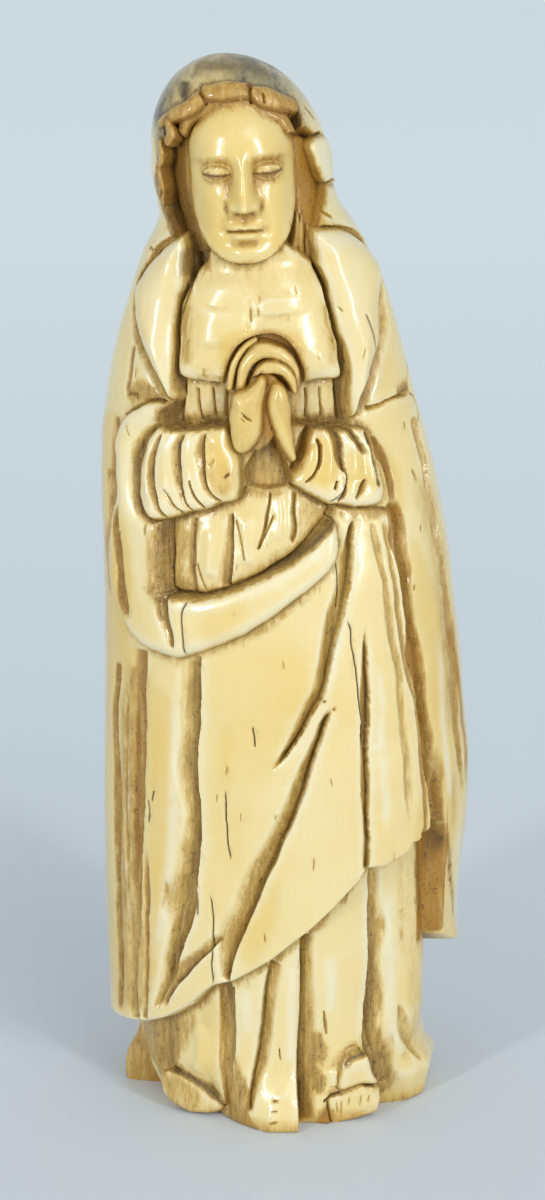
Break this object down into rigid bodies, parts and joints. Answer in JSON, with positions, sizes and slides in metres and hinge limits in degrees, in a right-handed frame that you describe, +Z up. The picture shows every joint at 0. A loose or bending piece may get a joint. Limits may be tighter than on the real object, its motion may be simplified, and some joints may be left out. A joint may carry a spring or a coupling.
{
  "type": "ivory madonna statuette",
  "caption": "Carved ivory figure of a standing, praying woman in veil, mantle and pleated gown, resting on its own flat underside.",
  "frame": {"origin": "on the floor, under the middle of the figure's bounding box", "axes": "+Z up along the figure's height, the face towards -Y, +X to the viewer's right of the front"},
  "size_m": [0.059, 0.0436, 0.172],
  "materials": {
    "ivory": "old ivory, polished cream on the high parts and matt brown patina in the cuts"
  },
  "bodies": {
    "root": {"madonna_figure": "ivory"}
  },
  "joints": []
}
